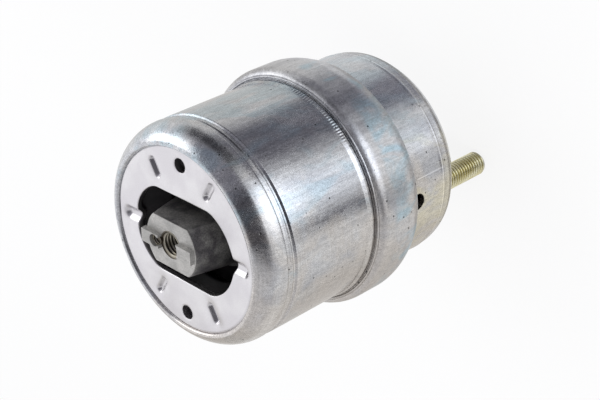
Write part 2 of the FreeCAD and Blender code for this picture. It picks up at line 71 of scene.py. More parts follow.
# Crimp nicks: the angles where they start, are full, start to fade and end.
CRIMP_TURN = (44.0, 53.0, 80.0, 88.0)
CRIMP_LEAST = 0.35    # depth between two nicks, as a share of the depth in one
CRIMP_PITCH = 1.2
CRIMP_DEPTH = 0.4
CRIMP_LOW_Z = 53.5
CRIMP_HIGH_Z = 55.9

# ---- rear can ----
REAR_CAN_RADIUS = 43.3
REAR_CAN_WALL = 2.0
REAR_CAN_CORNER = 9.0
REAR_CAN_FLANGE_RADIUS = 47.3
REAR_CAN_FLANGE_LOW_Z = 35.3
REAR_CAN_TOP_Z = 37.3
REAR_CAN_BEND_TOP_Z = 13.0
RIDGE_Z = 10.4
RIDGE_HEIGHT = 0.25
RIDGE_REACH_ABOVE = 0.9
RIDGE_REACH_BELOW = 0.5
VENT_RADIUS = 3.5
VENT_Z = 25.7

# ---- stop plate ----
PLATE_FACE_Z = 109.0
PLATE_WALL = 2.5
PLATE_RIM_Z = 104.5
OPENING_HALF_LENGTH = 26.9
OPENING_HALF_WIDTH = 17.7
OPENING_END_RADIUS = 19.0
OPENING_CORNER_RADIUS = 9.0
PLATE_EDGE_ROUNDING = 0.55

# Darts: half width of the trough and of the bell, their depths, inner and outer end.
DART_COUNT = 6
SIDE_DART = (1.3, 3.1, 1.5, 0.7, 26.8, 32.3)
END_DART = (2.3, 4.2, 1.9, 0.7, 0.0, 31.7)

PLATE_HOLE_RADIUS = 2.9
PLATE_HOLE_PITCH_RADIUS = 31.4
HOLE_DISH_DEPTH = 0.35
HOLE_DISH_REACH = 0.8

# ---- core ----
CORE_SIDE_SHIFT = 0.8
CORE_FACE_Z = 115.0
CORE_BORE_RADIUS = 5.0
CORE_THREAD_BOTTOM_Z = 93.0
CORE_THREAD_DEPTH = 0.65
CORE_MOUTH_CONE = 0.6
CORE_EDGE_EASE = 0.3
POCKET_RADIUS = 2.5
POCKET_CENTRE_X = -7.3
POCKET_FLOOR_Z = 113.9
POCKET_TOP_Z = 115.6
POCKET_DRILL_Z = 116.5
POCKET_THREAD_DEPTH = 0.35
POCKET_THREAD_PITCH = 0.9

# ---- collar ----
# Groove beside the can and the small bead after it: radius, level, rounding.
COLLAR_FRONT = (
    (43.0, 50.8, 0), (43.0, 52.95, 0), (45.5, 52.95, 0.1), (45.75, 51.4, 0.2),
    (46.1, 52.97, 0.4), (46.8, 52.9, 0.25), (46.95, 52.25, 0.1), (47.11, 52.47, 0),
)
COLLAR_RADIUS = 49.5
COLLAR_WAVE_DEPTH = 0.06
COLLAR_SHOULDER_Z = 48.5
COLLAR_SHOULDER_RADIUS = 4.5
COLLAR_SHOULDER_START = 62.0
COLLAR_CURL_Z = 38.0
COLLAR_CURL_RADIUS = 15.0
COLLAR_REAR_RADIUS = 47.5
COLLAR_REAR_Z = 30.5
COLLAR_HEM_RADIUS = 44.4
COLLAR_HEM_TOP_Z = 35.3
COLLAR_INNER_TOP_Z = 50.8

# ---- stud ----
STUD_RADIUS = 5.0
STUD_LENGTH = 33.0
STUD_CHAMFER = 1.7
STUD_TIP_RADIUS = 2.2
STUD_NECK_RADIUS = 5.5
STUD_NECK_TOP_Z = 2.0
STUD_HEAD_RADIUS = 6.5
STUD_HEAD_TOP_Z = 6.0
STUD_PITCH_RADIUS = 27.7
STUD_ANGLE = -21.0
THREAD_PITCH = 1.5
THREAD_DEPTH = 0.85
THREAD_FULL_Z = -3.0
THREAD_END_Z = -1.2


# ------------------------------------------------------------------ node helpers

# Sockets of the Mix node that carry colours.
MIX_SHARE, MIX_FIRST, MIX_SECOND, MIX_RESULT = 0, 6, 7, 2


class Finish:
    """A material built node by node. Sockets take numbers, colours or other nodes' outputs."""

    def __init__(self, name):
        self.material = bpy.data.materials.new(name)
        self.material.use_nodes = True
        self.tree = self.material.node_tree
        self.tree.nodes.clear()
        self.shader = self.add("ShaderNodeBsdfPrincipled")
        self.output = self.add("ShaderNodeOutputMaterial")
        self.feed(self.output.inputs["Surface"], self.shader.outputs[0])
        self.place = self.add("ShaderNodeTexCoord").outputs["Object"]

    def feed(self, socket, value):
        """Link an output to a socket, or set the socket to a value."""
        if isinstance(value, bpy.types.NodeSocket):
            self.tree.links.new(value, socket)
        else:
            socket.default_value = value

    def add(self, kind, sockets=None, **settings):
        """Add a node, set its settings, then fill its sockets."""
        node = self.tree.nodes.new(kind)
        for name, value in settings.items():
            setattr(node, name, value)
        for name, value in (sockets or {}).items():
            self.feed(node.inputs[name], value)
        return node

    def sum(self, operation, first, second=0.0, clamp=False):
        """One sum of two numbers."""
        sockets = {0: first, 1: second}
        return self.add("ShaderNodeMath", sockets, operation=operation, use_clamp=clamp).outputs[0]

    def weighted(self, *pairs):
        """Sum of values, each times its weight."""
        total = 0.0
        for value, weight in pairs:
            total = self.sum("ADD", self.sum("MULTIPLY", value, weight), total)
        return total

    def vector(self, operation, first, second=(0.0, 0.0, 0.0)):
        """One sum of two vectors, or of the first alone."""
        node = self.add("ShaderNodeVectorMath", {0: first, 1: second}, operation=operation)
        gives_number = operation in ("DOT_PRODUCT", "LENGTH")
        return node.outputs["Value" if gives_number else "Vector"]

    def stretched(self, x, y, z, turn=0.0):
        """The place, turned about Y, over a length in millimetres along each axis."""
        place = self.place
        if turn:
            turned = self.add("ShaderNodeMapping", {"Vector": place, "Rotation": (0.0, turn, 0.0)})
            place = turned.outputs[0]
        return self.vector("MULTIPLY", place, (1.0 / (x * MM), 1.0 / (y * MM), 1.0 / (z * MM)))

    def noise(self, lengths, detail=3.0, roughness=0.55, distortion=0.0, turn=0.0):
        """Noise whose features have that length in millimetres along X, Y and Z."""
        sockets = {
            "Vector": self.stretched(*lengths, turn=turn), "Scale": 1.0, "Detail": detail,
            "Roughness": roughness, "Distortion": distortion,
        }
        return self.add("ShaderNodeTexNoise", sockets).outputs["Fac"]

    def ramp(self, value, low, high, start=0.0, end=1.0):
        """Carry a value from low..high to start..end with soft ends, held beyond them."""
        node = self.add("ShaderNodeMapRange", {
            "Value": value, "From Min": low, "From Max": high, "To Min": start, "To Max": end,
        })
        node.interpolation_type = "SMOOTHSTEP"
        return node.outputs["Result"]

    def axis_part(self):
        """X, Y and Z of the place, in millimetres."""
        scaled = self.vector("MULTIPLY", self.place, (1 / MM, 1 / MM, 1 / MM))
        return self.add("ShaderNodeSeparateXYZ", {0: scaled}).outputs

    def facing(self, angle):
        """1 on the side of the axis at that angle from X, 0 beside it, -1 opposite."""
        unit = self.vector("NORMALIZE", self.vector("MULTIPLY", self.place, (1.0, 1.0, 0.0)))
        side = (math.cos(math.radians(angle)), math.sin(math.radians(angle)), 0.0)
        return self.vector("DOT_PRODUCT", unit, side)

    def blend(self, amount, first, second, kind="MIX"):
        """Mix two colours."""
        node = self.add("ShaderNodeMix", data_type="RGBA", blend_type=kind)
        self.feed(node.inputs[MIX_SHARE], amount)
        self.feed(node.inputs[MIX_FIRST], first)
        self.feed(node.inputs[MIX_SECOND], second)
        return node.outputs[MIX_RESULT]

    def tinted(self, colour, shade):
        """A colour times a grey number."""
        grey = self.add("ShaderNodeCombineColor", {0: shade, 1: shade, 2: shade}).outputs[0]
        return self.blend(1.0, colour, grey, kind="MULTIPLY")

    def bump(self, height, strength, depth):
        """Normal from a height map; depth in millimetres."""
        sockets = {"Height": height, "Strength": strength, "Distance": depth * MM}
        return self.add("ShaderNodeBump", sockets).outputs[0]

    def surface(self, **sockets):
        """Fill the shader's sockets by name, with underscores for spaces."""
        for name, value in sockets.items():
            self.feed(self.shader.inputs[name.replace("_", " ")], value)
        return self.material


def rgb(red, green, blue):
    """Colour for a socket."""
    return (red, green, blue, 1.0)


# ------------------------------------------------------------------ finishes

ZINC_LIGHT = rgb(0.57, 0.575, 0.585)
ZINC_DARK = rgb(0.42, 0.425, 0.445)
FILM_BLUE = rgb(0.40, 0.51, 0.565)
FILM_STRAW = rgb(0.62, 0.575, 0.44)
FILM_WARM = rgb(0.56, 0.53, 0.50)


def zinc_steel(
    name, dull, blue_side, blue_most, blue_top=120.0, straw_side=None, rub_highlight_height=None,
    scratch=None,
):
    """Zinc-plated drawn steel: axial draw marks, clouded film, peppery grain, hairlines, pits,
    and faint spun rings where the draw marks are weak. dull is the middle roughness; blue_side
    and straw_side are the angles where the clear chromate film shows blue or straw most,
    blue_most is its strength there, and blue_top the level above which it was rubbed off;
    rub_highlight_height is the level of a ridge rubbed smoother and lightened as a painted
    highlight; scratch is the angle, lowest and highest level of an axial score."""
    f = Finish(name)
    height = f.axis_part()[2]
    drawn = f.ramp(f.facing(70), -0.1, 0.75, 0.25, 1.0)
    draw = f.sum("SUBTRACT", f.noise((0.7, 0.7, 34), detail=5, roughness=0.7), 0.5)
    draw = f.sum("ADD", f.sum("MULTIPLY", draw, drawn), 0.5)
    rings = f.noise((22, 22, 0.45), detail=3, turn=0.1)
    spun = f.ramp(f.facing(-50), 0.1, 0.8, 0.0, 1.0)
    rings = f.sum("MULTIPLY", f.ramp(rings, 0.35, 0.65, -0.05, 0.05), spun)
    sweep = f.noise((4, 4, 70), detail=4)
    cloud = f.noise((9, 9, 22), detail=5, roughness=0.65)
    mottle = f.noise((1.3, 1.3, 2.6), detail=4, roughness=0.6)
    grain = f.noise((0.42, 0.42, 0.5), detail=3, roughness=0.7)
    film = f.noise((10, 10, 24), detail=3, distortion=0.9, turn=0.15)
    haze = f.noise((17, 17, 15), detail=3, distortion=0.6, turn=0.9)
    hair = f.ramp(f.noise((0.3, 0.3, 22), detail=1, turn=0.22), 0.69, 0.77)
    cross = f.ramp(f.noise((13, 13, 0.28), detail=1, turn=0.35), 0.71, 0.79)
    cells = f.add("ShaderNodeTexVoronoi", {"Vector": f.stretched(5.8, 5.8, 5.8), "Scale": 1.0})
    spots = cells.outputs["Distance"]
    pits = f.ramp(f.weighted((spots, 1.0), (grain, 0.06)), 0.07, 0.12, 1.0, 0.0)
    pale = f.ramp(f.weighted((cloud, 0.6), (sweep, 0.4)), 0.38, 0.62)
    colour = f.blend(pale, ZINC_DARK, ZINC_LIGHT)
    warm = f.ramp(f.weighted((f.facing(-50), 0.25), (haze, 0.8)), 0.36, 0.66, 0.0, 0.95)
    colour = f.blend(warm, colour, FILM_WARM)
    blue = f.ramp(f.weighted((f.facing(blue_side), 0.17), (film, 1.0)), 0.56, 0.80, 0.0, blue_most)
    blue = f.sum("MULTIPLY", f.ramp(height, blue_top - 3.0, blue_top, 1.0, 0.0), blue)
    colour = f.blend(blue, colour, FILM_BLUE)
    if straw_side is not None:
        straw = f.ramp(f.weighted((f.facing(straw_side), 0.75), (film, 0.8)), 0.98, 1.2, 0.0, 0.75)
        colour = f.blend(straw, colour, FILM_STRAW)
    marks = f.weighted(
        (f.ramp(draw, 0.3, 0.7, -0.12, 0.09), 1.0), (f.ramp(grain, 0.3, 0.7, -0.22, 0.18), 1.0),
        (f.ramp(mottle, 0.3, 0.7, -0.10, 0.08), 1.0), (rings, 1.0),
        (hair, 0.2), (cross, 0.12), (pits, -0.75),
    )
    rough = f.weighted(
        (f.ramp(cloud, 0.35, 0.65, -0.05, 0.05), 1.0), (f.ramp(grain, 0.3, 0.7, -0.05, 0.05), 1.0),
    )
    # The ridge is rubbed smoother, and its colour is lightened as a painted highlight of the bright
    # line along it.
    if rub_highlight_height is not None:
        off_ridge = f.sum("ABSOLUTE", f.sum("SUBTRACT", height, rub_highlight_height))
        rub_highlight = f.ramp(f.weighted((off_ridge, 1.0), (cloud, 0.5)), 0.3, 0.9, 1.0, 0.0)
        marks = f.weighted((marks, 1.0), (rub_highlight, 0.3))
        rough = f.weighted((rough, 1.0), (rub_highlight, -0.08))
    if scratch is not None:
        angle, low, high = scratch
        aside = f.sum("ABSOLUTE", f.facing(angle + 90))
        score = f.ramp(aside, 0.004, 0.009, 1.0, 0.0)
        score = f.sum("MULTIPLY", score, f.ramp(f.facing(angle), 0.0, 0.5))
        score = f.sum("MULTIPLY", f.ramp(height, low, low + 1.0), score)
        score = f.sum("MULTIPLY", f.ramp(height, high - 1.0, high, 1.0, 0.0), score)
        marks = f.weighted((marks, 1.0), (score, 0.45))
    colour = f.tinted(colour, f.sum("ADD", marks, 1.0))
    relief = f.weighted((draw, 0.6), (mottle, 0.8), (grain, 0.75), (hair, 0.3), (pits, -2.0))
    return f.surface(
        Base_Color=colour, Metallic=1.0, Roughness=f.sum("ADD", rough, dull),
        Normal=f.bump(relief, 0.4, 0.06),
    )


def satin_steel():
    """Zinc-plated sheet of the stop plate: pale, satin, faintly mottled, small scuffs."""
    f = Finish("satin_steel")
    cloud = f.noise((14, 14, 14), detail=4)
    grain = f.noise((0.5, 0.5, 0.5), detail=2)
    scuff = f.ramp(f.noise((0.4, 9, 4), detail=2), 0.68, 0.8)
    colour = f.blend(f.ramp(cloud, 0.35, 0.65), rgb(0.60, 0.585, 0.60), rgb(0.68, 0.67, 0.675))
    shade = f.weighted((f.ramp(grain, 0.3, 0.7, 0.96, 1.03), 1.0), (scuff, -0.07))
    colour = f.tinted(colour, shade)
    rough = f.ramp(f.weighted((grain, 0.5), (cloud, 0.5)), 0.35, 0.65, 0.28, 0.36)
    return f.surface(
        Base_Color=colour, Metallic=1.0, Roughness=rough, Normal=f.bump(grain, 0.15, 0.03),
    )


def cast_aluminium():
    """Cast core: sandy grey, pale on the machined faces; down the sides near black, partly the dark
    cast skin and partly painted shade.
    """
    f = Finish("cast_aluminium")
    height = f.axis_part()[2]
    cloud = f.noise((7, 7, 7), detail=4)
    sand = f.noise((0.5, 0.5, 0.5), detail=4, roughness=0.65)
    # Down the sides a near black: partly the dark skin of the casting, partly painted shade where
    # the sides go down into the dark opening.
    skin = f.blend(f.ramp(cloud, 0.35, 0.65), rgb(0.085, 0.08, 0.085), rgb(0.22, 0.215, 0.205))
    skin = f.tinted(skin, f.ramp(sand, 0.3, 0.7, 0.6, 1.35))
    faced = f.blend(f.ramp(cloud, 0.35, 0.65), rgb(0.36, 0.355, 0.34), rgb(0.47, 0.46, 0.44))
    grit = f.noise((0.32, 0.32, 0.32), detail=3, roughness=0.75)
    cutter = f.noise((7, 0.35, 7), detail=3, turn=0.6)
    faced = f.tinted(faced, f.weighted(
        (f.ramp(grit, 0.35, 0.65, 0.66, 1.2), 0.7), (f.ramp(cutter, 0.35, 0.65, 0.8, 1.15), 0.3),
    ))
    cut = f.ramp(height, CORE_FACE_Z - 0.35, CORE_FACE_Z - 0.15)
    colour = f.blend(cut, skin, faced)
    rough = f.weighted((f.ramp(sand, 0.3, 0.7, -0.08, 0.08), 1.0), (cut, 0.04))
    return f.surface(
        Base_Color=colour, Metallic=0.6, Roughness=f.sum("ADD", rough, 0.42),
        Normal=f.bump(sand, 0.7, 0.18),
    )


def oiled_thread():
    """Cut thread of the core: olive-brown with oil on the crests, nearly black in the roots as
    painted shade.
    """
    f = Finish("oiled_thread")
    film = f.noise((2.5, 2.5, 2.5), detail=3)
    colour = f.blend(f.ramp(film, 0.35, 0.65), rgb(0.40, 0.37, 0.29), rgb(0.56, 0.53, 0.45))
    crest = f.add("ShaderNodeAttribute", attribute_name="crest").outputs["Fac"]
    # The thread's roots are painted near black: painted shade in its grooves.
    colour = f.blend(crest, rgb(0.05, 0.04, 0.03), colour)
    return f.surface(Base_Color=colour, Metallic=1.0, Roughness=f.ramp(film, 0.3, 0.7, 0.28, 0.4))


def plate_aluminium():
    """Aluminium of the channel plates: pale, finely ringed by the lathe."""
    f = Finish("plate_aluminium")
    cloud = f.noise((12, 12, 12), detail=3)
    rings = f.noise((60, 60, 0.4), detail=2)
    colour = f.blend(f.ramp(cloud, 0.35, 0.65), rgb(0.60, 0.61, 0.62), rgb(0.68, 0.68, 0.69))
    return f.surface(Base_Color=colour, Metallic=1.0, Roughness=f.ramp(rings, 0.3, 0.7, 0.3, 0.45))


def plain_steel():
    """Phosphated steel of the inner sleeve: dark, dry, clouded."""
    f = Finish("plain_steel")
    cloud = f.noise((10, 10, 10), detail=4)
    colour = f.blend(f.ramp(cloud, 0.35, 0.65), rgb(0.30, 0.29, 0.28), rgb(0.40, 0.39, 0.38))
    return f.surface(Base_Color=colour, Metallic=1.0, Roughness=f.ramp(cloud, 0.3, 0.7, 0.42, 0.55))


def black_rubber():
    """Moulded rubber: near black, dull, with a faint violet bloom."""
    f = Finish("black_rubber")
    bloom = f.noise((7, 7, 7), detail=4)
    skin = f.noise((0.45, 0.45, 0.45), detail=2)
    colour = f.blend(f.ramp(bloom, 0.4, 0.7), rgb(0.006, 0.005, 0.006), rgb(0.016, 0.013, 0.016))
    rough = f.ramp(skin, 0.3, 0.7, 0.5, 0.65)
    return f.surface(
        Base_Color=colour, Roughness=rough, Specular_IOR_Level=0.3, Normal=f.bump(skin, 0.3, 0.05),
    )


def yellow_zinc_steel():
    """Yellow-passivated stud: straw gold in patches, bare grey at the tip; dark olive in the roots,
    the olive the film's own and the darkness painted shade.
    """
    f = Finish("yellow_zinc_steel")
    z = f.axis_part()[2]
    from_centre = f.vector("SUBTRACT", f.place, Vector(stud_centre()) * MM)
    reach = f.vector("LENGTH", f.vector("MULTIPLY", from_centre, (1, 1, 0)))
    crest = f.ramp(reach, (STUD_RADIUS - THREAD_DEPTH) * MM, (STUD_RADIUS - 0.15) * MM)
    cloud = f.noise((4, 4, 6), detail=3)
    colour = f.blend(f.ramp(cloud, 0.35, 0.65), rgb(0.72, 0.66, 0.38), rgb(0.88, 0.85, 0.62))
    # Dark olive in the roots: the olive is the film's own, its darkness is painted shade in the
    # thread's grooves.
    colour = f.blend(crest, rgb(0.20, 0.17, 0.07), colour)
    bare = f.ramp(f.sum("ADD", z, f.sum("MULTIPLY", cloud, 3.0)), -30.5, -28.5, 0.7, 0.0)
    colour = f.blend(bare, colour, rgb(0.58, 0.57, 0.53))
    return f.surface(Base_Color=colour, Metallic=1.0, Roughness=f.ramp(cloud, 0.3, 0.7, 0.2, 0.3))


def stud_centre():
    """Where the stud's axis meets z = 0, in millimetres."""
    at = math.radians(STUD_ANGLE)
    return (STUD_PITCH_RADIUS * math.cos(at), STUD_PITCH_RADIUS * math.sin(at), 0.0)


zinc_front = zinc_steel("zinc_front_can", 0.23, 98, 0.55)
zinc_collar = zinc_steel("zinc_collar", 0.36, 12, 0.9, blue_top=47.0)
zinc_rear = zinc_steel(
    "zinc_rear_can", 0.28, 100, 0.4,
    straw_side=-8, rub_highlight_height=RIDGE_Z, scratch=(12.6, 9.0, 25.5),
)
rubber = black_rubber()
satin = satin_steel()
cast = cast_aluminium()
thread_oil = oiled_thread()
aluminium = plate_aluminium()
yellow_zinc = yellow_zinc_steel()

# The nodes that are shown as they are.
NODE_FINISH = {
    "upper_plate": aluminium,
    "lower_plate": aluminium,
    "sleeve": plain_steel(),
    "stop_buffer": rubber,
    "spring": rubber,
    "decoupler": rubber,
    "diaphragm": rubber,
}

for name, finish in NODE_FINISH.items():
    nodes[name].data.materials.clear()
    nodes[name].data.materials.append(finish)


# ------------------------------------------------------------------ surfaces

def net_faces(rows, columns, loop_rows, loop_columns):
    """Quads of a net of rows x columns points; a loop joins the last row or column to the first."""
    row = np.arange(rows if loop_rows else rows - 1)
    column = np.arange(columns if loop_columns else columns - 1)
    row, column = np.meshgrid(row, column, indexing="ij")
    next_row = (row + 1) % rows
    next_column = (column + 1) % columns
    quads = np.stack([
        row * columns + column, row * columns + next_column,
        next_row * columns + next_column, next_row * columns + column,
    ], -1)
    return quads.reshape(-1, 4)


def outward(points, faces):
    """Faces of a closed net, turned round if the volume that they enclose comes out negative."""
    first, second, third, fourth = (points[faces[:, corner]] for corner in range(4))
    volume = np.sum(first * (np.cross(second, third) + np.cross(third, fourth)))
    return faces if volume > 0 else faces[:, ::-1]


def make_piece(name, points, faces, material, node=None):
    """Mesh object from points in millimetres and quads; rides on the body, may replace a node."""
    mesh = bpy.data.meshes.new(name)
    faces = outward(points, faces)
    mesh.from_pydata((points * MM).tolist(), [], faces.tolist())
    mesh.materials.append(material)
    mesh.polygons.foreach_set("use_smooth", np.ones(len(mesh.polygons), bool))
    mesh.update()
    piece = bpy.data.objects.new(name, mesh)
    scene.collection.objects.link(piece)
    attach(piece, "root")
    if node is not None:
        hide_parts(node)
    return piece


def arc_points(centre, radius, start, end, count):
    """Points (radius, height) on a circle about a centre between two angles in degrees."""
    angle = np.radians(np.linspace(start, end, count))
    return np.stack([centre[0] + radius * np.cos(angle), centre[1] + radius * np.sin(angle)], 1)


def rounded_path(corners, spacing):
    """Path through (radius, height, rounding) corners: each corner is an arc, runs are divided.
    The arc of a corner starts and ends at rounding / tan(half the corner's angle) from it."""
    pieces = []
    for index, (across, up, rounding) in enumerate(corners):
        point = np.array([across, up], float)
        if rounding == 0 or index in (0, len(corners) - 1):
            pieces.append(point[None])
            continue
        back = np.array(corners[index - 1][:2], float) - point
        ahead = np.array(corners[index + 1][:2], float) - point
        back /= np.linalg.norm(back)
        ahead /= np.linalg.norm(ahead)
        half = math.acos(np.clip(back @ ahead, -1, 1)) / 2
        start = point + back * rounding / math.tan(half)
        bisector = (back + ahead) / np.linalg.norm(back + ahead)
        centre = point + bisector * rounding / math.sin(half)
        share = np.linspace(0, 1, 7)[:, None]
        end = point + ahead * rounding / math.tan(half)
        spokes = (1 - share) * (start - centre) + share * (end - centre)
        pieces.append(centre + rounding * spokes / np.linalg.norm(spokes, axis=1, keepdims=True))
    path = np.vstack(pieces)
    lengths = np.linalg.norm(np.diff(path, axis=0), axis=1)
    divided = [path[:1]]
    for begin, finish, length in zip(path[:-1], path[1:], lengths):
        steps = max(1, int(math.ceil(length / spacing)))
        share = np.linspace(0, 1, steps + 1)[1:, None]
        divided.append(begin + (finish - begin) * share)
    return np.vstack(divided)


def even_turn(columns):
    """Angles of a whole turn, evenly divided."""
    return np.linspace(0, 2 * math.pi, columns, endpoint=False)


def turned_points(outline, angle, radial_change=None):
    """Turn an outline (radius, height) about the axis: x = r cos a, y = r sin a, z = height.
    radial_change(angle, radius, height) is added to the radius."""
    height, turn = np.meshgrid(outline[:, 1], angle, indexing="ij")
    radius = np.repeat(outline[:, :1], len(angle), 1)
    if radial_change is not None:
        radius = radius + radial_change(turn, radius, height)
    return np.stack([radius * np.cos(turn), radius * np.sin(turn), height], -1).reshape(-1, 3)


def make_turned(name, node, finish, outline, angle, relief, closed=True):
    """Zinc-plated piece turned from an outline, whose last point may join its first."""
    points = turned_points(outline, angle, relief)
    faces = net_faces(len(outline), len(angle), closed, True)
    return make_piece(name, points, faces, finish, node)


def smooth_step(value, low, high):
    """0 below low, 1 above high, with soft ends: t * t * (3 - 2 t)."""
    share = np.clip((value - low) / (high - low), 0, 1)
    return share * share * (3 - 2 * share)


def drawn_waves(angle, height):
    """Waves of a drawn wall from 0 to 1: three sines of the angle and the height, averaged."""
    waves = (
        np.sin(5 * angle + height / 9) + np.sin(11 * angle - height / 6 + 1.3)
        + np.sin(3 * angle + height / 21 + 0.4)
    )
    return 0.5 + waves / 6


def pole_ring(columns):
    """Row of radii that closes to a pole."""
    return np.full((1, columns), POLE_RADIUS)


def front_can_relief(angle, radius, height):
    """Waves of the drawn wall and the row of crimp nicks in its rear rim. A nick is a V round
    the rim and half a sine along the axis, where the crimping rollers ran on."""
    outside = smooth_step(radius, CAN_RADIUS - 1.1, CAN_RADIUS - 0.8)
    degrees = np.degrees(angle)
    start, full, fade, end = CRIMP_TURN
    run = smooth_step(degrees, start, full) * (1 - smooth_step(degrees, fade, end))
    share = np.clip((height - CRIMP_LOW_Z) / (CRIMP_HIGH_Z - CRIMP_LOW_Z), 0, 1)
    turns = angle * CAN_RADIUS / CRIMP_PITCH
    nick = 1 - np.abs((turns % 1.0) * 2 - 1)
    deepest = CRIMP_DEPTH * run * np.sin(math.pi * share)
    nicked = deepest * (CRIMP_LEAST + (1 - CRIMP_LEAST) * nick)
    return -outside * (WAVE_DEPTH * drawn_waves(angle, height) + nicked)


def front_can_angles():
    """Angles of a turn: 1 degree apart, and five times closer where the crimp nicks are."""
    start, end = CRIMP_TURN[0], CRIMP_TURN[-1]
    crimped = np.linspace(start, end, 220, endpoint=False)
    plain = np.linspace(end, start + 360, 316, endpoint=False)
    return np.radians(np.concatenate([crimped, plain])) % (2 * math.pi)


def front_can_outline():
    """Outline of the drawn cover: lip, swaged ring, wall, flared rim, then back inside."""
    across = LIP_BORE_RADIUS - LIP_CENTRE_RADIUS
    inner_start = math.degrees(math.acos(across / LIP_INNER_RADIUS))
    centre = (LIP_CENTRE_RADIUS, LIP_CENTRE_Z)
    lip = arc_points(centre, LIP_RADIUS, LIP_ROUND_END, 0, 44)
    end_low = LIP_CENTRE_Z + math.sqrt(LIP_INNER_RADIUS ** 2 - across ** 2)
    end_high = LIP_CENTRE_Z + math.sqrt(LIP_RADIUS ** 2 - across ** 2)
    lip_end = rounded_path([
        (LIP_BORE_RADIUS, end_low, 0), (LIP_BORE_RADIUS, end_high, LIP_END_ROUNDING), (*lip[0], 0),
    ], spacing=0.3)
    swage = rounded_path([
        (CAN_RADIUS, LIP_CENTRE_Z, 0),
        *((CAN_RADIUS - depth, level, rounding) for depth, level, rounding in SWAGE),
        (CAN_RADIUS, SWAGE_REAR_Z, 0),
    ], spacing=0.4)
    wall = rounded_path([(CAN_RADIUS, SWAGE_REAR_Z, 0), (CAN_RADIUS, CAN_FLARE_Z, 0)], spacing=1.0)
    rim = rounded_path([
        (CAN_RADIUS, CAN_FLARE_Z, 0), (CAN_RADIUS, CAN_FLARE_Z - 0.8, 0.8),
        (CAN_RIM_RADIUS, CAN_REAR_Z + 1.6, 0.6), (CAN_RIM_RADIUS, CAN_REAR_Z, 0.7),
        (CAN_BORE_RADIUS, CAN_REAR_Z, 0),
    ], spacing=0.25)
    bore = rounded_path([
        (CAN_BORE_RADIUS, CAN_REAR_Z, 0), (CAN_BORE_RADIUS, LIP_CENTRE_Z, 0),
    ], spacing=6.0)
    inner_lip = arc_points(centre, LIP_INNER_RADIUS, 0, inner_start, 14)
    return np.vstack([lip_end, lip[1:], swage[1:], wall[1:], rim[1:], bore[1:], inner_lip[1:-1]])


def collar_relief(angle, radius, height):
    """Slow waves that the rolling of the collar leaves, inwards only."""
    outside = smooth_step(radius, COLLAR_REAR_RADIUS - 1.0, COLLAR_REAR_RADIUS)
    return -COLLAR_WAVE_DEPTH * outside * drawn_waves(angle, height)


def collar_outline():
    """Outline of the collar: groove beside the can, small bead, rounded shoulder, wall, curled
    rear edge, hem, inside."""
    front = rounded_path(COLLAR_FRONT, spacing=0.3)
    middle = (COLLAR_RADIUS - COLLAR_SHOULDER_RADIUS, COLLAR_SHOULDER_Z)
    shoulder = arc_points(middle, COLLAR_SHOULDER_RADIUS, COLLAR_SHOULDER_START, 0, 18)
    wall = rounded_path([
        (COLLAR_RADIUS, COLLAR_SHOULDER_Z, 0), (COLLAR_RADIUS, COLLAR_CURL_Z, 0),
    ], spacing=1.2)
    drop = COLLAR_CURL_Z - (COLLAR_REAR_Z + 1.0)
    lean = math.degrees(math.asin(drop / COLLAR_CURL_RADIUS))
    centre = (COLLAR_RADIUS - COLLAR_CURL_RADIUS, COLLAR_CURL_Z)
    curl = arc_points(centre, COLLAR_CURL_RADIUS, 0, -lean, 14)
    slip = COLLAR_REAR_RADIUS - curl[-1, 0]
    curl[:, 0] += slip * np.linspace(0, 1, len(curl))
    rear = rounded_path([
        (COLLAR_REAR_RADIUS, COLLAR_REAR_Z + 1.0, 0),
        (COLLAR_REAR_RADIUS - 0.3, COLLAR_REAR_Z, 0.6),
        (COLLAR_HEM_RADIUS, COLLAR_REAR_Z, 1.2), (COLLAR_HEM_RADIUS, COLLAR_HEM_TOP_Z, 0),
        (COLLAR_REAR_RADIUS, COLLAR_HEM_TOP_Z, 0), (COLLAR_REAR_RADIUS, COLLAR_INNER_TOP_Z, 0.6),
        (CAN_BORE_RADIUS, COLLAR_INNER_TOP_Z, 0),
    ], spacing=1.0)
    return np.vstack([front, shoulder[1:], wall[1:], curl[1:], rear[1:-1]])


def rear_can_relief(angle, radius, height):
    """Waves of the drawn wall and the ridge where it turns into the corner: the wall lies inside
    the ridge, more softly above it than below, by a bell curve of the height."""
    outside = smooth_step(radius, REAR_CAN_RADIUS - 1.7, REAR_CAN_RADIUS - 1.1)
    above = np.clip(height - RIDGE_Z, 0, None) / RIDGE_REACH_ABOVE
    below = np.clip(RIDGE_Z - height, 0, None) / RIDGE_REACH_BELOW
    fade = smooth_step(height, 6.0, 8.0)
    ridge = (1 - np.exp(-above ** 2 - below ** 2)) * fade
    return -outside * (WAVE_DEPTH * drawn_waves(angle, height) + RIDGE_HEIGHT * ridge)


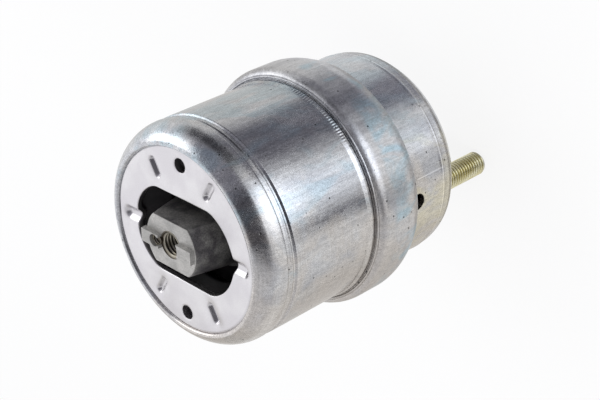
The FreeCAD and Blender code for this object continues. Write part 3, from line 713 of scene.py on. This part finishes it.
def make_rear_can():
    """Rear can turned from its outline: flange, wall, round corner, floor, and back inside.
    Closed at both poles; the vent and the stud's hole are drilled."""
    inner = REAR_CAN_RADIUS - REAR_CAN_WALL
    outline = rounded_path([
        (POLE_RADIUS, 0, 0), (REAR_CAN_RADIUS, 0, REAR_CAN_CORNER),
        (REAR_CAN_RADIUS, REAR_CAN_BEND_TOP_Z, 0),
    ], spacing=0.5)
    upper = rounded_path([
        (REAR_CAN_RADIUS, REAR_CAN_BEND_TOP_Z, 0), (REAR_CAN_RADIUS, REAR_CAN_FLANGE_LOW_Z, 1.0),
        (REAR_CAN_FLANGE_RADIUS, REAR_CAN_FLANGE_LOW_Z, 0),
        (REAR_CAN_FLANGE_RADIUS, REAR_CAN_TOP_Z, 0), (inner, REAR_CAN_TOP_Z, 1.0),
        (inner, REAR_CAN_WALL, REAR_CAN_CORNER - REAR_CAN_WALL), (POLE_RADIUS, REAR_CAN_WALL, 0),
    ], spacing=2.0)
    outline = np.vstack([outline, upper[1:]])
    can = make_turned(
        "rear_can_shell", "rear_can", zinc_rear, outline, even_turn(360), rear_can_relief,
        closed=False,
    )
    close_poles(can, 0.05)
    drill_hole(can, (REAR_CAN_RADIUS, 0, VENT_Z), VENT_RADIUS, DRILL_LENGTH, sideways=True)
    drill_hole(can, stud_centre(), STUD_NECK_RADIUS, DRILL_LENGTH)
    return can


def opening_radius(angle):
    """Distance from the axis to the edge of the stop plate's opening, by angle.
    The edge is two flats, two round ends about points on X, and corner arcs tangent to both."""
    x = np.abs(np.cos(angle))
    y = np.abs(np.sin(angle))
    end_centre = OPENING_HALF_LENGTH - OPENING_END_RADIUS
    corner_y = OPENING_HALF_WIDTH - OPENING_CORNER_RADIUS
    inset = OPENING_END_RADIUS - OPENING_CORNER_RADIUS
    corner_x = end_centre + math.sqrt(inset ** 2 - corner_y ** 2)
    flat = OPENING_HALF_WIDTH / np.maximum(y, 1e-6)
    end = end_centre * x + np.sqrt(OPENING_END_RADIUS ** 2 - (end_centre * y) ** 2)
    along = corner_x * x + corner_y * y
    off_square = corner_x ** 2 + corner_y ** 2 - along ** 2
    corner = along + np.sqrt(np.maximum(OPENING_CORNER_RADIUS ** 2 - off_square, 0))
    on_flat = flat * x <= corner_x
    lean = math.atan2(corner_y, corner_x - end_centre)
    on_end = np.arctan2(end * y, end * x - end_centre) <= lean
    return np.where(on_flat, flat, np.where(on_end, end, corner))


def dart_dip(x, y):
    """How far the plate is pressed down. With d the distance to a dart's middle line, a dart dips
    by a deep trough, exp(-(d / narrow) ** 3), and a wide shallow bell, exp(-(d / wide) ** 2); the
    two darts on X are wider and run on through the edge of the opening."""
    dip = np.zeros_like(x)
    for index in range(DART_COUNT):
        turn = 2 * math.pi * index / DART_COUNT
        along = x * math.cos(turn) + y * math.sin(turn)
        aside = y * math.cos(turn) - x * math.sin(turn)
        through = index % 3 == 0
        narrow, wide, deep, shallow, inner, outer = END_DART if through else SIDE_DART
        over = np.maximum(np.maximum(inner - along, along - outer), 0)
        distance = np.hypot(aside, over)
        trough = deep * np.exp(-(distance / narrow) ** 3)
        bell = shallow * np.exp(-(distance / wide) ** 2)
        dip += np.where(along > 0, trough + bell, 0)
    return dip


def plate_reach():
    """Distance from the axis to the outer edge of the plate's face, where it meets the lip."""
    return LIP_CENTRE_RADIUS + math.sqrt(LIP_INNER_RADIUS ** 2 - (PLATE_FACE_Z - LIP_CENTRE_Z) ** 2)


def plate_section():
    """Section of the stop plate as rows (share, offset, height): up the opening's wall, round its
    edge, out over the face, down the rim along the inside of the lip, and back underneath. A
    point lies that share of the way from the opening to the outer edge, plus the offset."""
    under_z = PLATE_FACE_Z - PLATE_WALL
    edge_z = PLATE_FACE_Z - PLATE_EDGE_ROUNDING
    bend = np.radians(np.linspace(0, 90, 7)[1:])
    out = np.linspace(0, 1, 66)[1:]
    back = np.linspace(1, 0, 20)[1:]

    def along_lip(radius, start_z, stop_z, count):
        """Points on a circle about the lip's centre, between two levels."""
        ends = [math.asin((z - LIP_CENTRE_Z) / radius) for z in (start_z, stop_z)]
        lean = np.linspace(*ends, count)
        offset = LIP_CENTRE_RADIUS + radius * np.cos(lean) - plate_reach()
        return 1.0, offset, LIP_CENTRE_Z + radius * np.sin(lean)

    rim = along_lip(LIP_INNER_RADIUS, PLATE_FACE_Z, PLATE_RIM_Z, 9)
    under_rim = along_lip(LIP_INNER_RADIUS - PLATE_WALL, PLATE_RIM_Z, under_z, 7)
    runs = (
        (0.0, 0.0, np.linspace(under_z + 0.2, edge_z, 5)),
        (
            0.0, PLATE_EDGE_ROUNDING * (1 - np.cos(bend)),
            edge_z + PLATE_EDGE_ROUNDING * np.sin(bend),
        ),
        (out, PLATE_EDGE_ROUNDING * (1 - out), PLATE_FACE_Z),
        (1.0, rim[1][1:], rim[2][1:]),
        under_rim,
        (back, np.linspace(under_rim[1][-1], 0.2, 20)[1:], under_z),
    )
    return np.vstack([np.stack(np.broadcast_arrays(*run), 1) for run in runs])


def make_stop_plate():
    """Stop plate: its section is laid between the opening's edge and the rim at each angle, then
    the darts, and a shallow dish round each of the two holes, are pressed into all of it."""
    share, offset, height = plate_section().T[:, :, None]
    angle = even_turn(720)
    inner = opening_radius(angle)
    radius = inner + (plate_reach() - inner) * share + offset
    x = radius * np.cos(angle)
    y = radius * np.sin(angle)
    z = height - dart_dip(x, y)
    for side in (1, -1):
        away = np.hypot(x, y - side * PLATE_HOLE_PITCH_RADIUS)
        edge = PLATE_HOLE_RADIUS - 0.3
        z = z - HOLE_DISH_DEPTH * (1 - smooth_step(away, edge, PLATE_HOLE_RADIUS + HOLE_DISH_REACH))
    points = np.stack([x, y, z], -1).reshape(-1, 3)
    faces = net_faces(len(height), len(angle), True, True)
    plate = make_piece("stamped_stop_plate", points, faces, satin, "stop_plate")
    for side in (1, -1):
        centre = (0, side * PLATE_HOLE_PITCH_RADIUS, PLATE_FACE_Z - PLATE_WALL / 2)
        drill_hole(plate, centre, PLATE_HOLE_RADIUS, 4 * PLATE_WALL)
    return plate


def drill_hole(piece, centre, radius, length, sideways=False):
    """Cut a round hole through a piece, upright or along X; sizes in millimetres."""
    sides = 64
    ends = np.array([(radius, -length / 2), (radius, length / 2)])
    ring = turned_points(ends, even_turn(sides))
    points = np.vstack([ring, [(0, 0, -length / 2), (0, 0, length / 2)]])
    if sideways:
        points = points[:, [2, 0, 1]]
    here = np.arange(sides)
    ahead = (here + 1) % sides
    caps = np.vstack([
        np.stack([ahead, here, np.full(sides, 2 * sides)], 1),
        np.stack([here + sides, ahead + sides, np.full(sides, 2 * sides + 1)], 1),
    ])
    mesh = bpy.data.meshes.new("drill")
    faces = net_faces(2, sides, False, True).tolist() + caps.tolist()
    mesh.from_pydata(((points + np.array(centre)) * MM).tolist(), [], faces)
    drill = bpy.data.objects.new("drill", mesh)
    scene.collection.objects.link(drill)
    cut = piece.modifiers.new("hole", "BOOLEAN")
    cut.operation = "DIFFERENCE"
    cut.solver = "EXACT"
    cut.object = drill
    settle(piece)
    bpy.data.objects.remove(drill)


def settle(piece):
    """Make the piece's mesh what its modifiers give, and drop them."""
    bpy.context.view_layer.update()
    shaped = piece.evaluated_get(bpy.context.evaluated_depsgraph_get())
    piece.data = bpy.data.meshes.new_from_object(shaped)
    piece.modifiers.clear()


def thread_wave(turns):
    """Height of a 60-degree thread along its pitch, 0 in the root and 1 on the crest:
    straight flanks with a flat crest of an eighth and a flat root of a quarter of the pitch."""
    share = np.abs((turns % 1.0) - 0.5) * 2
    return np.clip((1 - share - 0.25) / 0.625, 0, 1)


def make_stud():
    """Stud on its own axis. Its shank is r = radius - depth * (1 - wave(z / pitch + a / turn)),
    held under the chamfer's cone at the tip; above the seat come the neck and the head."""
    columns = 96
    shank = np.linspace(-STUD_LENGTH, 0, int(STUD_LENGTH / THREAD_PITCH) * 16 + 1)
    angle = even_turn(columns)
    height, turn = np.meshgrid(shank, angle, indexing="ij")
    depth = THREAD_DEPTH * (1 - smooth_step(height, THREAD_FULL_Z, THREAD_END_Z))
    radius = STUD_RADIUS - depth * (1 - thread_wave(height / THREAD_PITCH + turn / (2 * math.pi)))
    radius = np.minimum(radius, STUD_RADIUS - STUD_CHAMFER + (height + STUD_LENGTH))
    upper = np.array([
        (STUD_NECK_RADIUS, 0.0), (STUD_NECK_RADIUS, STUD_NECK_TOP_Z),
        (STUD_HEAD_RADIUS, STUD_NECK_TOP_Z), (STUD_HEAD_RADIUS, STUD_HEAD_TOP_Z - 0.8),
        (STUD_HEAD_RADIUS - 0.3, STUD_HEAD_TOP_Z - 0.2), (STUD_HEAD_RADIUS - 0.9, STUD_HEAD_TOP_Z),
    ])
    radius = np.vstack([
        pole_ring(columns), np.full((1, columns), STUD_TIP_RADIUS), radius,
        np.repeat(upper[:, :1], columns, 1), pole_ring(columns),
    ])
    levels = np.concatenate([[-STUD_LENGTH, -STUD_LENGTH], shank, upper[:, 1], [STUD_HEAD_TOP_Z]])
    height = np.repeat(levels[:, None], columns, 1)
    points = np.stack([radius * np.cos(angle), radius * np.sin(angle), height], -1)
    points = points.reshape(-1, 3) + np.array(stud_centre())
    faces = net_faces(len(levels), columns, False, True)
    piece = make_piece("threaded_stud", points, faces, yellow_zinc, "stud")
    return close_poles(piece, 0.05)


def close_poles(piece, reach):
    """Merge the points that crowd at the poles of a turned piece, within a reach in millimetres."""
    weld = piece.modifiers.new("poles", "WELD")
    weld.merge_threshold = reach * MM
    settle(piece)
    return piece


def threaded_wall(name, centre, radius, depth, pitch, bottom, top, cone=0.0, floored=False):
    """Threaded lining of a round hole: inner wall r = radius - depth * wave(z / pitch - a / turn),
    opening as a cone of that height at the mouth, backed by a plain wall just outside. A
    floored one closes in to the axis at the bottom. The wave is kept on the points as crest."""
    columns = 96
    levels = np.linspace(bottom, top, int((top - bottom) / pitch * 12) + 1)
    angle = even_turn(columns)
    height, turn = np.meshgrid(levels, angle, indexing="ij")
    wave = thread_wave(height / pitch - turn / (2 * math.pi))
    opened = np.clip(height - (top - cone), 0, None)
    inner = radius - 0.03 + opened - depth * wave
    back = np.full((2, columns), radius + cone + 0.05)
    back[1] -= cone
    crest = np.vstack([wave, np.zeros((2, columns))])
    radii = np.vstack([inner, back])
    levels = np.concatenate([levels, [top, bottom - 0.1]])
    if floored:
        radii = np.vstack([pole_ring(columns), radii, pole_ring(columns)])
        levels = np.concatenate([[bottom], levels, levels[-1:]])
        crest = np.vstack([np.full((1, columns), 0.6), crest, np.zeros((1, columns))])
    heights = np.repeat(levels[:, None], columns, 1)
    points = np.stack([
        radii * np.cos(angle) + centre[0], radii * np.sin(angle) + centre[1], heights,
    ], -1).reshape(-1, 3)
    faces = net_faces(len(radii), columns, not floored, True)
    lining = make_piece(name, points, faces, thread_oil)
    layer = lining.data.attributes.new("crest", "FLOAT", "POINT")
    layer.data.foreach_set("value", crest.ravel())
    return close_poles(lining, 0.02) if floored else lining


def eased_copy(node, name, width, angle, material):
    """Merged copy of a CAD node with its edges eased by a narrow bevel."""
    mesh = nodes[node].data.copy()
    mesh.name = name
    mesh.materials.clear()
    mesh.materials.append(material)
    piece = bpy.data.objects.new(name, mesh)
    scene.collection.objects.link(piece)
    weld = piece.modifiers.new("weld", "WELD")
    weld.merge_threshold = 0.002 * MM
    flat = piece.modifiers.new("flats", "DECIMATE")
    flat.decimate_type = "DISSOLVE"
    flat.angle_limit = math.radians(1.0)
    bevel = piece.modifiers.new("ease", "BEVEL")
    bevel.width = width * MM
    bevel.segments = 3
    bevel.limit_method = "ANGLE"
    bevel.angle_limit = math.radians(angle)
    bevel.harden_normals = True
    settle(piece)
    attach(piece, "root")
    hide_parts(node)
    return piece


make_turned(
    "front_can_shell", "front_can", zinc_front, front_can_outline(), front_can_angles(),
    front_can_relief,
)
make_turned(
    "clamp_collar", "collar", zinc_collar, collar_outline(), even_turn(480), collar_relief,
)
make_rear_can()
make_stop_plate()
make_stud()
cast_core = eased_copy("core", "cast_core", CORE_EDGE_EASE, 30, cast)
pocket_place = (POCKET_CENTRE_X, CORE_SIDE_SHIFT)
drill_hole(cast_core, (*pocket_place, POCKET_DRILL_Z), POCKET_RADIUS, DRILL_LENGTH)
threaded_wall(
    "core_thread", (0, CORE_SIDE_SHIFT), CORE_BORE_RADIUS, CORE_THREAD_DEPTH, THREAD_PITCH,
    CORE_THREAD_BOTTOM_Z, CORE_FACE_Z, cone=CORE_MOUTH_CONE,
)
threaded_wall(
    "pocket_thread", pocket_place, POCKET_RADIUS, POCKET_THREAD_DEPTH, POCKET_THREAD_PITCH,
    POCKET_FLOOR_Z, POCKET_TOP_Z, floored=True,
)


# ------------------------------------------------------------------ studio

FLOOR_Z = -0.0335


def stage_piece(name, points, faces, material, corners=None):
    """Mesh object that belongs to the studio; corners are the faces' UV places."""
    mesh = bpy.data.meshes.new(name)
    mesh.from_pydata(points.tolist(), [], faces.tolist())
    if corners is not None:
        layer = mesh.uv_layers.new(name="card")
        layer.data.foreach_set("uv", corners[faces.ravel()].ravel())
    mesh.materials.append(material)
    thing = bpy.data.objects.new(name, mesh)
    scene.collection.objects.link(thing)
    return thing


def aimed(place, target):
    """Matrix of a lamp at a place, looking down its -Z at a target."""
    look = (Vector(target) - Vector(place)).to_track_quat("-Z", "Y")
    return Matrix.Translation(place) @ look.to_matrix().to_4x4()


MIDDLE_Z = 0.06


def from_middle(azimuth, elevation, distance):
    """Point at a distance from the middle of the mount, by azimuth and elevation in degrees."""
    a = math.radians(azimuth)
    e = math.radians(elevation)
    flat = distance * math.cos(e)
    return (flat * math.cos(a), flat * math.sin(a), MIDDLE_Z + distance * math.sin(e))


def gloss_only(thing):
    """Let a card show in the gloss of the metal and nowhere else."""
    thing.visible_camera = False
    thing.visible_diffuse = False
    thing.visible_shadow = False
    return thing


def paper():
    """Pale floor: nearly white to the eye, to gloss and to glass, and it takes the shadow."""
    f = Finish("paper")
    fibres = f.noise((2.5, 2.5, 2.5), detail=4)
    colour = f.blend(fibres, rgb(0.86, 0.86, 0.86), rgb(0.9, 0.9, 0.9))
    f.surface(Base_Color=colour, Roughness=0.9, Specular_IOR_Level=0.1)
    path = f.add("ShaderNodeLightPath").outputs
    seen = f.sum("ADD", path["Is Camera Ray"], path["Is Glossy Ray"], clamp=True)
    seen = f.sum("ADD", seen, path["Is Transmission Ray"], clamp=True)
    white = f.add("ShaderNodeEmission", {"Color": rgb(1, 1, 1), "Strength": 1.0})
    mix = f.add("ShaderNodeMixShader", {
        0: f.sum("MULTIPLY", seen, 0.8), 1: f.shader.outputs[0], 2: white.outputs[0],
    })
    f.feed(f.output.inputs["Surface"], mix.outputs[0])
    return f.material


def soft_light(name, colour, level, side_fade, low_fade, high_fade):
    """Light of a card that fades out at its edges; a fade is a share of its width or height."""
    f = Finish(name)
    place = f.add("ShaderNodeUVMap", uv_map="card").outputs[0]
    edge = f.add("ShaderNodeSeparateXYZ", {0: place}).outputs
    across = f.sum("MINIMUM", edge[0], f.sum("SUBTRACT", 1.0, edge[0]))
    cover = f.ramp(across, 0.0, side_fade)
    cover = f.sum("MULTIPLY", f.ramp(edge[1], 0.0, low_fade), cover)
    cover = f.sum("MULTIPLY", f.ramp(edge[1], 1.0 - high_fade, 1.0, 1.0, 0.0), cover)
    lit = f.add("ShaderNodeEmission", {"Color": colour, "Strength": level})
    clear = f.add("ShaderNodeBsdfTransparent")
    mix = f.add("ShaderNodeMixShader", {0: cover, 1: clear.outputs[0], 2: lit.outputs[0]})
    f.feed(f.output.inputs["Surface"], mix.outputs[0])
    f.material.cycles.emission_sampling = "NONE"
    return f.material


def card(name, material, place_at, across, up):
    """Card over two parameters, each given as (from, to); place_at makes points of them."""
    count = 25
    first, second = np.meshgrid(np.linspace(*across, count), np.linspace(*up, count), indexing="ij")
    points = np.stack(place_at(first, second), -1).reshape(-1, 3)
    share = np.linspace(0, 1, count)
    corners = np.stack(np.meshgrid(share, share, indexing="ij"), -1).reshape(-1, 2)
    faces = net_faces(count, count, False, False)
    return gloss_only(stage_piece(name, points, faces, material, corners))


def on_drum(radius):
    """Points on an upright drum by angle in degrees and height."""
    def place_at(angle, height):
        turn = np.radians(angle)
        return radius * np.cos(turn), radius * np.sin(turn), height
    return place_at


def on_dome(radius):
    """Points on a dome over the mount by azimuth and elevation in degrees."""
    def place_at(azimuth, elevation):
        turn = np.radians(azimuth)
        rise = np.radians(elevation)
        flat = radius * np.cos(rise)
        return flat * np.cos(turn), flat * np.sin(turn), 0.09 + radius * np.sin(rise)
    return place_at


def on_floor(azimuth, radius):
    """Points just over the floor by azimuth in degrees and distance from the axis."""
    turn = np.radians(azimuth)
    return radius * np.cos(turn), radius * np.sin(turn), np.full_like(turn, FLOOR_Z + 0.0005)


COOL = rgb(0.93, 0.97, 1.04)
VIOLET = rgb(0.94, 0.92, 1.06)
SAND = rgb(1.03, 1.0, 0.97)

# Cards that the gloss shows: name, colour, radiance, fades at the sides, bottom and top, the
# form they lie on, and their two spans: degrees round the axis, then metres up or out, or
# degrees of elevation on a dome.
CARDS = (
    ("side_card", VIOLET, 0.24, (0.32, 0.02, 0.3), on_drum(0.110), (45, 118), (FLOOR_Z, 0.098)),
    ("far_side_card", VIOLET, 0.07, (0.3, 0.25, 0.3), on_drum(0.110), (56, 134), (0.066, 0.128)),
    ("thin_card", VIOLET, 0.2, (0.5, 0.02, 0.4), on_drum(0.111), (-7, 14), (FLOOR_Z, 0.055)),
    ("bright_card", COOL, 1.45, (0.4, 0.55, 0.3), on_drum(0.112), (11, 52), (FLOOR_Z, 0.068)),
    ("top_bright_card", COOL, 3.0, (0.5, 0.3, 0.45), on_drum(0.112), (4, 60), (0.022, 0.128)),
    ("low_side_card", VIOLET, 0.38, (0.3, 0.3, 0.02), on_floor, (48, 104), (0.062, 0.110)),
    ("low_bright_card", COOL, 1.4, (0.4, 0.3, 0.02), on_floor, (12, 48), (0.062, 0.112)),
    ("low_ring", SAND, 0.5, (0.1, 0.1, 0.4), on_floor, (-170, 175), (0.040, 0.072)),
    ("low_left_card", SAND, 0.7, (0.3, 0.2, 0.02), on_floor, (-150, -30), (0.066, 0.118)),
    ("left_card", SAND, 0.72, (0.35, 0.02, 0.5), on_drum(0.118), (-150, -24), (FLOOR_Z, 0.080)),
    ("high_left_card", SAND, 0.68, (0.3, 0.25, 0.25), on_drum(0.117), (-150, -62), (0.058, 0.175)),
    ("back_card", SAND, 0.78, (0.3, 0.02, 0.4), on_drum(0.118), (96, 214), (FLOOR_Z, 0.090)),
    ("dark_dome", VIOLET, 0.10, (0.24, 0.14, 0.24), on_dome(0.40), (-28, 70), (6, 82)),
    ("violet_dome", VIOLET, 0.31, (0.22, 0.2, 0.2), on_dome(0.42), (30, 136), (2, 80)),
)
for name, colour, level, fades, place_at, across, up in CARDS:
    card(name, soft_light(name, colour, level, *fades), place_at, across, up)

FLOOR_CORNERS = ((-6, -6), (6, -6), (6, 6), (-6, 6))
floor_points = np.array([(x, y, FLOOR_Z) for x, y in FLOOR_CORNERS])
stage_piece("floor", floor_points, np.array([(0, 1, 2, 3)]), paper())


def softbox(name, azimuth, elevation, distance, width, height, radiance, roll=0.0):
    """Rectangular lamp whose face has that radiance, rolled about its own beam in degrees."""
    lamp = bpy.data.lights.new(name, "AREA")
    lamp.shape = "RECTANGLE"
    lamp.size = width
    lamp.size_y = height
    lamp.energy = radiance * math.pi * width * height
    thing = bpy.data.objects.new(name, lamp)
    turn = Matrix.Rotation(math.radians(roll), 4, "Z")
    place = from_middle(azimuth, elevation, distance)
    thing.matrix_world = aimed(place, (0, 0, MIDDLE_Z)) @ turn
    thing.visible_camera = False
    scene.collection.objects.link(thing)
    return thing


softbox("window_lamp", 148, 28, 0.9, 0.78, 0.32, 1.8, roll=-33)
side_lamp = softbox("side_lamp", -4, 30, 0.7, 0.22, 0.22, 7.0)
side_lamp.visible_glossy = False


def studio_air():
    """World: plain pale light, brighter behind the mount than in front of it."""
    world = bpy.data.worlds.new("studio")
    world.use_nodes = True
    tree = world.node_tree
    place = tree.nodes.new("ShaderNodeTexCoord")
    side = tree.nodes.new("ShaderNodeVectorMath")
    side.operation = "DOT_PRODUCT"
    side.inputs[1].default_value = (-0.98, -0.1, 0.15)
    ramp = tree.nodes.new("ShaderNodeMapRange")
    ramp.interpolation_type = "SMOOTHSTEP"
    for socket, value in zip(ramp.inputs[1:5], (-0.2, 0.9, 0.8, 1.25)):
        socket.default_value = value
    tree.links.new(place.outputs["Generated"], side.inputs[0])
    tree.links.new(side.outputs["Value"], ramp.inputs[0])
    background = tree.nodes["Background"]
    background.inputs["Color"].default_value = rgb(0.97, 0.97, 1.0)
    tree.links.new(ramp.outputs[0], background.inputs["Strength"])
    return world


scene.world = studio_air()
scene.view_settings.view_transform = "Standard"

# ------------------------------------------------------------------ camera

CAMERA_PLACE = Vector((0.37418, 0.27915, 0.41886))
CAMERA_RIGHT = Vector((0.70803, -0.00973, -0.70611))
CAMERA_BACK = Vector((0.62408, 0.47657, 0.61920))


def camera_matrix():
    """Matrix from the camera's place, its right side and its back."""
    back = CAMERA_BACK.normalized()
    right = (CAMERA_RIGHT - CAMERA_RIGHT.dot(back) * back).normalized()
    up = back.cross(right)
    turn = Matrix((right, up, back)).transposed()
    return Matrix.Translation(CAMERA_PLACE) @ turn.to_4x4()


lens = bpy.data.cameras.new("camera")
lens.lens = 90.18
lens.sensor_width = 36.0
lens.clip_start = 0.01
camera = bpy.data.objects.new("camera", lens)
camera.matrix_world = camera_matrix()
scene.collection.objects.link(camera)
scene.camera = camera
